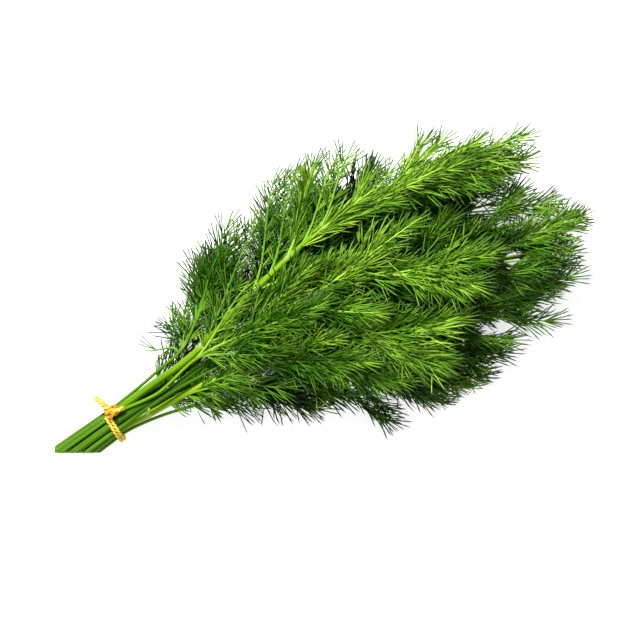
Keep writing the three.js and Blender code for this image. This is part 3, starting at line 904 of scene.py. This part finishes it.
def leafy_stem(name, thread, sprays, canopy):
    slot, thick, shade, points, leaves = STEMS[name]
    draw = random.Random(name)
    line = stem_line(slot, points)
    is_thick = thick > THICK_FROM
    bm = bmesh.new()
    for layer in ("tip", "tint", "fleck", "pale", "stripe"):
        bm.verts.layers.float.new(layer)
    roots = [line.share_at_x(x) for x, *_ in leaves]
    if name in LOW_JOINTS:
        roots.append(line.share_at_x(LOW_JOINTS[name]))
        add_sheath(bm, thread, line, LOW_JOINTS[name])
    swell = INNER_FOOT_SWELL if name in INNER_STALKS else FOOT_SWELL
    add_shoot(
        bm, line, stalk_radius(line, thick, roots, swell),
        STALK_SIDES if is_thick else THIN_STALK_SIDES, STALK_STEP,
        stalk_values(line, shade, roots),
    )
    for face in bm.faces:
        face.material_index = STEM_MATERIALS.index("dill_stalk")
    trim_stalk(bm, thick)
    leaves = leaves + INNER_LEAVES.get(name, [])
    under = [under_leaf(line, leaf, draw) for leaf in leaves if leaf[2] >= BROAD_LEAF]
    for x, tip, half, kind in leaves + under:
        rib = rib_line(line, x, tip)
        share = line.share_at_x(x)
        flare = (RIB_FLARE if is_thick else THIN_RIB_FLARE) * (1 - FLARE_FADE * share)
        # Painted light: a leaf's tint rises with its height, plus a random tone of its own.
        height = (tip[2] + line.point(share).z) / 2
        tint = PAINTED_HEIGHT_LIGHT * (height / FULL_HEIGHT) + PAINTED_LOW_SHADE
        tint += draw.uniform(-LEAF_SHADE_RANGE, LEAF_SHADE_RANGE)
        add_rib(bm, rib, flare, tint + RIB_SHADE[kind])
        grow_leaf(bm, sprays, canopy, rib, half, kind, tint, draw)
    piece = finished(name + "_fronds", bm, STEM_MATERIALS)
    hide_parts(name)


def finished(name, bm, materials):
    """Makes a piece of the object from a shape in millimetres, kept within the bunch's box."""
    for vert in bm.verts:
        vert.co = np.clip(vert.co, LOW, HIGH)
    bmesh.ops.scale(bm, vec=(MM, MM, MM), verts=bm.verts)
    bmesh.ops.recalc_face_normals(bm, faces=bm.faces)
    mesh = mesh_from(bm, name)
    piece = added(name, mesh)
    for material in materials:
        mesh.materials.append(bpy.data.materials[material])
    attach(piece, "root")
    return piece


# ---- The twine ----

TIE_HEIGHT = 10.2
TIE_RISE = 0.083
TWINE_RADIUS = 1.0
TWINE_GAP = 0.4
TWINE_PITCH = 2.05
KNOT_ANGLE = 56
KNOT_SHIFT = 2.5
KNOT_SIZE = 2.5
KNOT_TUBE = 1.0
KNOT_CORE = 2.5
KNOT_RISE = 1.9
KNOT_WAVE = 1.5
KNOT_SAMPLES = 121
TURN_SAMPLES = 49
TURN_STEPS = 8
TURN_TO_BOTTOM = (270 - KNOT_ANGLE) / 360
KNOT_X = (1 - TURN_TO_BOTTOM) * TWINE_PITCH + KNOT_SHIFT
# How far the stalks reach from the bundle's middle, by the angle round it in degrees.
TWINE_ROUTE = [
    (0, NOTCH + THIN / 2),
    (30, RING + 2.7),
    (60, NOTCH + THIN / 2 + 0.2),
    (90, RING + 2.6),
    (120, NOTCH + THIN / 2 + 0.15),
    (150, RING + 2.7),
    (180, NOTCH + THIN / 2 + 0.15),
    (210, RING + 2.6),
    (240, RING + 2.3),
    (270, RING + 2.55),
    (300, RING + 2.3),
    (330, RING + 2.6),
]
# The long and the short free end: points as steps from the knot's middle, and a radius.
FREE_ENDS = [
    ([(0, 0, 0), (-1.2, 3.5, 1.2), (-2.4, 7, 0.6), (-3.5, 10.2, -1.1)], 1.9),
    ([(0, 0, 0), (3.2, -1.2, 1.8), (6.0, -1.5, 1.3)], 1.2),
]

# The two strands, as shares of the twine's radius, and how tightly they are twisted.
TWIST_PITCH = 4.6
STRAND_OFFSET = 0.46
STRAND_RADIUS = 0.56
STRAND_SIDES = 8
STRAND_ROUGHNESS = 0.05
STRAND_BULGES = 3
BULGE_TURN = 40
LEAST_SAMPLES = 12
TWIST_SAMPLES = 14
TWIST_STEP = TWIST_PITCH / 12
FIBRE_PITCH = 1.1
TURNS_TINT = 0.25
KNOT_TINT = -0.15
CORE_TINT = -0.1
ENDS_TINT = 0.35

# The loose fibres along the twine and at its frayed ends.
TWINE_SEED = 17
FUZZ_PER_MM = 2.2
FUZZ_REACH = (0.2, 1.1)
FUZZ_RADIUS = 0.06
FUZZ_CURL = 0.5
FUZZ_TINT = 0.3
FUZZ_LEAST_HEIGHT = 0.3
FRAY_COUNT = 110
FRAY_FROM = 0.9
FRAY_SPREAD = 0.45
FRAY_WIDTH = 0.7
FRAY_REACH = (1.2, 2.6)
FRAY_RADIUS = 0.12
FRAY_CURL = 0.3
FRAY_TINT = 0.5


def around_bundle(angle, radius):
    """The y and z of a point round the bundle's middle, with z from that middle."""
    radians = math.radians(angle)
    return radius * math.cos(radians), radius * math.sin(radians)


def twine_distance(angle):
    """How far the twine's middle is from the bundle's middle, at an angle round it."""
    degrees = np.array([each for each, _ in TWINE_ROUTE])
    radii = np.array([radius for _, radius in TWINE_ROUTE]) + TWINE_GAP + TWINE_RADIUS
    return float(np.interp(angle % 360, np.append(degrees, 360), np.append(radii, radii[0])))


def turns_line():
    """Two turns of twine side by side, from the knot round to the knot."""
    points = []
    for turn in np.linspace(0, 2, TURN_SAMPLES):
        angle = KNOT_ANGLE + 360 * turn
        y, z = around_bundle(angle, twine_distance(angle))
        x = (turn - TURN_TO_BOTTOM) * TWINE_PITCH
        points.append((x, y, z + TIE_HEIGHT + TIE_RISE * x))
    return line_through(points, TURN_STEPS)


def knot_seat():
    y, z = around_bundle(KNOT_ANGLE, twine_distance(KNOT_ANGLE) + KNOT_RISE)
    return Vector((KNOT_X, y, z + TIE_HEIGHT))


def knot_line(seat):
    """The closed overhand knot."""
    lean = Matrix.Rotation(math.radians(KNOT_ANGLE - 90), 3, "X")
    points = []
    for angle in np.linspace(0, 4 * math.pi, KNOT_SAMPLES):
        swell = KNOT_SIZE * (2 + math.cos(KNOT_WAVE * angle)) / 2
        height = KNOT_SIZE * math.sin(KNOT_WAVE * angle) / 2
        step = Vector((swell * math.cos(angle), swell * math.sin(angle), height))
        points.append(seat + lean @ step)
    return Line(points)


def free_ends(seat):
    """The lines of the twine's free ends, from the knot's middle, each with its radius."""
    return [
        (line_through([seat + Vector(step) for step in steps]), radius)
        for steps, radius in FREE_ENDS
    ]


def add_strands(bm, line, radius, up, tint):
    """Two strands twisted round each other along a line."""
    shares = np.linspace(0, 1, max(LEAST_SAMPLES, round(line.length / TWIST_PITCH * TWIST_SAMPLES)))
    sideways, lifts = frames_along(line, shares, up)
    turn = 2 * math.pi * shares * line.length / TWIST_PITCH
    for start in (0, math.pi):
        offset = np.cos(turn + start)[:, None] * sideways + np.sin(turn + start)[:, None] * lifts
        strand = Line(line.at(shares) + STRAND_OFFSET * radius * offset)

        def radius_at(shares, angles):
            uneven = 1 + STRAND_ROUGHNESS * np.cos(STRAND_BULGES * angles + BULGE_TURN * shares)
            return STRAND_RADIUS * radius * uneven

        def values_at(shares, angles):
            twist = shares * strand.length / FIBRE_PITCH + angles / math.pi
            return {"twist": twist, "tint": tint}

        add_shoot(bm, strand, radius_at, STRAND_SIDES, TWIST_STEP, values_at, up)


def loose_way(draw):
    return Vector((draw.gauss(0, 1), draw.gauss(0, 1), draw.gauss(0, 1))).normalized()


def add_fuzz(bm, thread, lines, draw):
    """Adds short loose fibres all along the twine."""
    for line in lines:
        for _ in range(int(line.length * FUZZ_PER_MM)):
            start = line.point(draw.random())
            way = loose_way(draw)
            reach = TWINE_RADIUS + draw.uniform(*FUZZ_REACH)
            if (start + way * reach).z > FUZZ_LEAST_HEIGHT:
                add_thread(
                    bm, thread, start, way, way.cross(UP), reach, FUZZ_RADIUS, FUZZ_CURL,
                    tint=FUZZ_TINT,
                )


def add_fray(bm, thread, end, radius, draw):
    """Adds the fibres that stand out of a cut end of the twine."""
    for _ in range(FRAY_COUNT):
        way = (end.way(1) + FRAY_SPREAD * loose_way(draw)).normalized()
        start = end.point(FRAY_FROM) + FRAY_WIDTH * radius * loose_way(draw)
        reach = draw.uniform(*FRAY_REACH)
        add_thread(
            bm, thread, start, way, way.cross(UP), reach, FRAY_RADIUS, FRAY_CURL, tint=FRAY_TINT
        )


def twine_tie(thread):
    bm = bmesh.new()
    for layer in ("twist", "tint", "tip"):
        bm.verts.layers.float.new(layer)
    seat = knot_seat()
    knot = knot_line(seat)
    turns = turns_line()
    ends = free_ends(seat)
    core = line_through([seat - KNOT_CORE * VIEW_RIGHT, seat, seat + KNOT_CORE * VIEW_RIGHT])
    add_strands(bm, turns, TWINE_RADIUS, Vector((1, 0, 0)), TURNS_TINT)
    add_strands(bm, knot, KNOT_TUBE, UP, KNOT_TINT)
    add_strands(bm, core, KNOT_CORE, UP, CORE_TINT)
    for end, radius in ends:
        add_strands(bm, end, radius, UP, ENDS_TINT)
    draw = random.Random(TWINE_SEED)
    add_fuzz(bm, thread, [turns, knot, *[end for end, _ in ends]], draw)
    for end, radius in ends:
        add_fray(bm, thread, end, radius, draw)
    piece = finished("twine_tie_strands", bm, ["twine_yellow"])
    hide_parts("twine_tie")


# ---- Materials ----

# How each finish changes from dark to light, as shares of the way and colours.
# The leaves' ramp: its dark end is painted shade for leaflets deep in the bunch, and its light end
# painted light for the high leaves.
LEAF_STOPS = [
    (0.0, (0.001, 0.010, 0.0003)),
    (0.3, (0.012, 0.072, 0.001)),
    (0.6, (0.076, 0.250, 0.003)),
    (1.0, (0.460, 0.750, 0.060)),
]
# The stalks' ramp runs from the colour of a shaded stalk to that of a lit one: painted shade and
# light, with the stalks' own stripes and tone between.
STALK_STOPS = [
    (0.15, (0.018, 0.085, 0.001)),
    (0.5, (0.110, 0.270, 0.002)),
    (0.85, (0.300, 0.500, 0.010)),
]
CUT_STOPS = [(0.2, (0.32, 0.48, 0.12)), (0.8, (0.58, 0.69, 0.32))]
TWINE_STOPS = [
    (0.0, (0.62, 0.20, 0.005)),
    (0.3, (0.86, 0.56, 0.03)),
    (0.75, (0.80, 0.67, 0.12)),
]
PALE_GREEN = (0.50, 0.66, 0.17)
RIPE_GREEN = (0.045, 0.10, 0.012)
# How much of the ripe green a thread's tip takes, and of the pale green a joint.
TIP_STOPS = [(0.4, (0, 0, 0)), (0.95, (0.85, 0.85, 0.85))]
PALE_STOPS = [(0.2, (0, 0, 0)), (1.0, (0.7, 0.7, 0.7))]
# The sockets of a colour Mix node: its share, its two colours and its result.
MIX_SHARE, MIX_FIRST, MIX_SECOND, MIX_RESULT = 0, 6, 7, 2


def new_material(name, roughness, specular=0.5):
    """Makes a material, and gives its node tree and the sockets of its surface."""
    material = bpy.data.materials.new(name)
    material.use_nodes = True
    surface = material.node_tree.nodes["Principled BSDF"].inputs
    surface["Roughness"].default_value = roughness
    surface["Specular IOR Level"].default_value = specular
    return material.node_tree, surface


def attribute(tree, name):
    node = tree.nodes.new("ShaderNodeAttribute")
    node.attribute_name = name
    return node.outputs["Fac"]


def colour_ramp(tree, value, stops):
    ramp = tree.nodes.new("ShaderNodeValToRGB")
    while len(ramp.color_ramp.elements) < len(stops):
        ramp.color_ramp.elements.new(0.5)
    for element, (position, colour) in zip(ramp.color_ramp.elements, stops):
        element.position = position
        element.color = (*colour, 1)
    tree.links.new(value, ramp.inputs["Fac"])
    return ramp.outputs["Color"]


def mixed(tree, share, first, second):
    """Gives way from the first colour, a socket, to the second, a fixed one, by a share."""
    mix = tree.nodes.new("ShaderNodeMix")
    mix.data_type = "RGBA"
    tree.links.new(share, mix.inputs[MIX_SHARE])
    tree.links.new(first, mix.inputs[MIX_FIRST])
    mix.inputs[MIX_SECOND].default_value = (*second, 1)
    return mix.outputs[MIX_RESULT]


def sum_of(tree, value, factor=1.0, offset=0.0, other=None):
    """The value times the factor, with an offset or another value added."""
    node = tree.nodes.new("ShaderNodeMath")
    node.operation = "MULTIPLY_ADD"
    tree.links.new(value, node.inputs[0])
    node.inputs[1].default_value = factor
    if other is None:
        node.inputs[2].default_value = offset
    else:
        tree.links.new(other, node.inputs[2])
    return node.outputs[0]


def plant_mottle_group():
    """Slow changes of shade over a piece: a value near 0, up and down, from its own place."""
    group = bpy.data.node_groups.new("plant_mottle", "ShaderNodeTree")
    for socket, way in (("Scale", "INPUT"), ("Strength", "INPUT"), ("Value", "OUTPUT")):
        group.interface.new_socket(socket, in_out=way, socket_type="NodeSocketFloat")
    inputs = group.nodes.new("NodeGroupInput")
    outputs = group.nodes.new("NodeGroupOutput")
    place = group.nodes.new("ShaderNodeTexCoord")
    noise = group.nodes.new("ShaderNodeTexNoise")
    noise.inputs["Detail"].default_value = 2
    group.links.new(place.outputs["Object"], noise.inputs["Vector"])
    group.links.new(inputs.outputs["Scale"], noise.inputs["Scale"])
    centred = sum_of(group, noise.outputs["Fac"], offset=-0.5)
    scaled = group.nodes.new("ShaderNodeMath")
    scaled.operation = "MULTIPLY"
    group.links.new(centred, scaled.inputs[0])
    group.links.new(inputs.outputs["Strength"], scaled.inputs[1])
    group.links.new(scaled.outputs[0], outputs.inputs["Value"])
    return group


def mottle(tree, group, scale, strength):
    node = tree.nodes.new("ShaderNodeGroup")
    node.node_tree = group
    node.inputs["Scale"].default_value = scale
    node.inputs["Strength"].default_value = strength
    return node.outputs["Value"]


def leaf_material(group):
    tree, surface = new_material("dill_leaf", roughness=0.38, specular=0.2)
    slow = mottle(tree, group, scale=30, strength=0.4)
    # The tint carries the leaves' painted light and shade, lighter high up and darker deep in the
    # bunch, with their random tone.
    shade = sum_of(tree, attribute(tree, "tint"), factor=0.6, other=slow)
    shade = sum_of(tree, attribute(tree, "fleck"), factor=0.15, other=shade)
    shade = sum_of(tree, shade, offset=0.43)
    colour = colour_ramp(tree, shade, LEAF_STOPS)
    tip = colour_ramp(tree, attribute(tree, "tip"), TIP_STOPS)
    colour = mixed(tree, tip, colour, RIPE_GREEN)
    colour = mixed(tree, attribute(tree, "pale"), colour, PALE_GREEN)
    tree.links.new(colour, surface["Base Color"])


def stalk_material(group):
    tree, surface = new_material("dill_stalk", roughness=0.5, specular=0.1)
    slow = mottle(tree, group, scale=18, strength=0.5)
    shade = sum_of(tree, attribute(tree, "stripe"), factor=0.1, other=slow)
    # The tint carries each stalk's shade, partly its own tone and partly painted light and shade.
    shade = sum_of(tree, attribute(tree, "tint"), other=shade)
    shade = sum_of(tree, shade, offset=0.5)
    colour = colour_ramp(tree, shade, STALK_STOPS)
    pale = colour_ramp(tree, attribute(tree, "pale"), PALE_STOPS)
    colour = mixed(tree, pale, colour, PALE_GREEN)
    tree.links.new(colour, surface["Base Color"])


def cut_material(group):
    tree, surface = new_material("dill_cut", roughness=0.6)
    pith = sum_of(tree, mottle(tree, group, scale=900, strength=1.0), offset=0.5)
    tree.links.new(colour_ramp(tree, pith, CUT_STOPS), surface["Base Color"])


def twine_material(group):
    tree, surface = new_material("twine_yellow", roughness=0.85)
    wave = tree.nodes.new("ShaderNodeMath")
    wave.operation = "PINGPONG"
    wave.inputs[1].default_value = 0.25
    tree.links.new(attribute(tree, "twist"), wave.inputs[0])
    fine = mottle(tree, group, scale=1500, strength=1.2)
    fibres = sum_of(tree, wave.outputs[0], factor=2.0, other=fine)
    slow = mottle(tree, group, scale=260, strength=1.6)
    shade = sum_of(tree, slow, other=fibres)
    shade = sum_of(tree, attribute(tree, "tint"), other=shade)
    tree.links.new(colour_ramp(tree, shade, TWINE_STOPS), surface["Base Color"])
    bump = tree.nodes.new("ShaderNodeBump")
    bump.inputs["Strength"].default_value = 0.5
    bump.inputs["Distance"].default_value = 0.0002
    tree.links.new(fibres, bump.inputs["Height"])
    tree.links.new(bump.outputs["Normal"], surface["Normal"])


# ---- Camera, floor and lights ----


def add_camera():
    camera = added("camera", bpy.data.cameras.new("camera"))
    camera.data.lens = LENS
    camera.data.sensor_width = SENSOR
    distance = LENS / SENSOR * VIEW_WIDTH * MM
    turn = Matrix((VIEW_RIGHT, VIEW_UP, UP)).transposed().to_4x4()
    camera.matrix_world = Matrix.Translation(VIEW_CENTRE * MM + UP * distance) @ turn
    bpy.context.scene.camera = camera


def add_floor():
    bm = bmesh.new()
    bmesh.ops.create_grid(bm, x_segments=1, y_segments=1, size=4)
    mesh = mesh_from(bm, "floor")
    floor = added("floor", mesh)
    _, surface = new_material("pale_floor", roughness=0.9)
    surface["Base Color"].default_value = (0.7, 0.7, 0.7, 1)
    surface["Emission Color"].default_value = (1, 1, 1, 1)
    surface["Emission Strength"].default_value = 0.7
    mesh.materials.append(bpy.data.materials["pale_floor"])


def add_light(name, place, size, power):
    light = bpy.data.lights.new(name, "AREA")
    light.size = size
    light.energy = power
    lamp = added(name, light)
    lamp.location = place
    lamp.rotation_euler = (VIEW_CENTRE * MM - place).to_track_quat("-Z", "Y").to_euler()


def add_lights():
    middle = VIEW_CENTRE * MM
    upper_left = (VIEW_UP * 0.85 - VIEW_RIGHT * 0.5).normalized()
    add_light("key_light", middle + upper_left * 0.95 + UP * 1.1, size=0.35, power=36)
    add_light("fill_light", middle - upper_left * 0.9 + UP * 1.0, size=1.2, power=5)
    world = bpy.data.worlds.new("studio")
    world.use_nodes = True
    sky = world.node_tree.nodes["Background"].inputs
    sky["Color"].default_value = (1, 1, 1, 1)
    sky["Strength"].default_value = 0.3
    bpy.context.scene.world = world
    bpy.context.scene.view_settings.view_transform = "Standard"


add_camera()
add_floor()
add_lights()
plant_mottle = plant_mottle_group()
leaf_material(plant_mottle)
stalk_material(plant_mottle)
cut_material(plant_mottle)
twine_material(plant_mottle)
thread = unit_tube(3, 0, 2)
sprays = spray_templates(thread)
canopy = whole_canopy()
for stem in STEMS:
    leafy_stem(stem, thread, sprays, canopy)
twine_tie(thread)
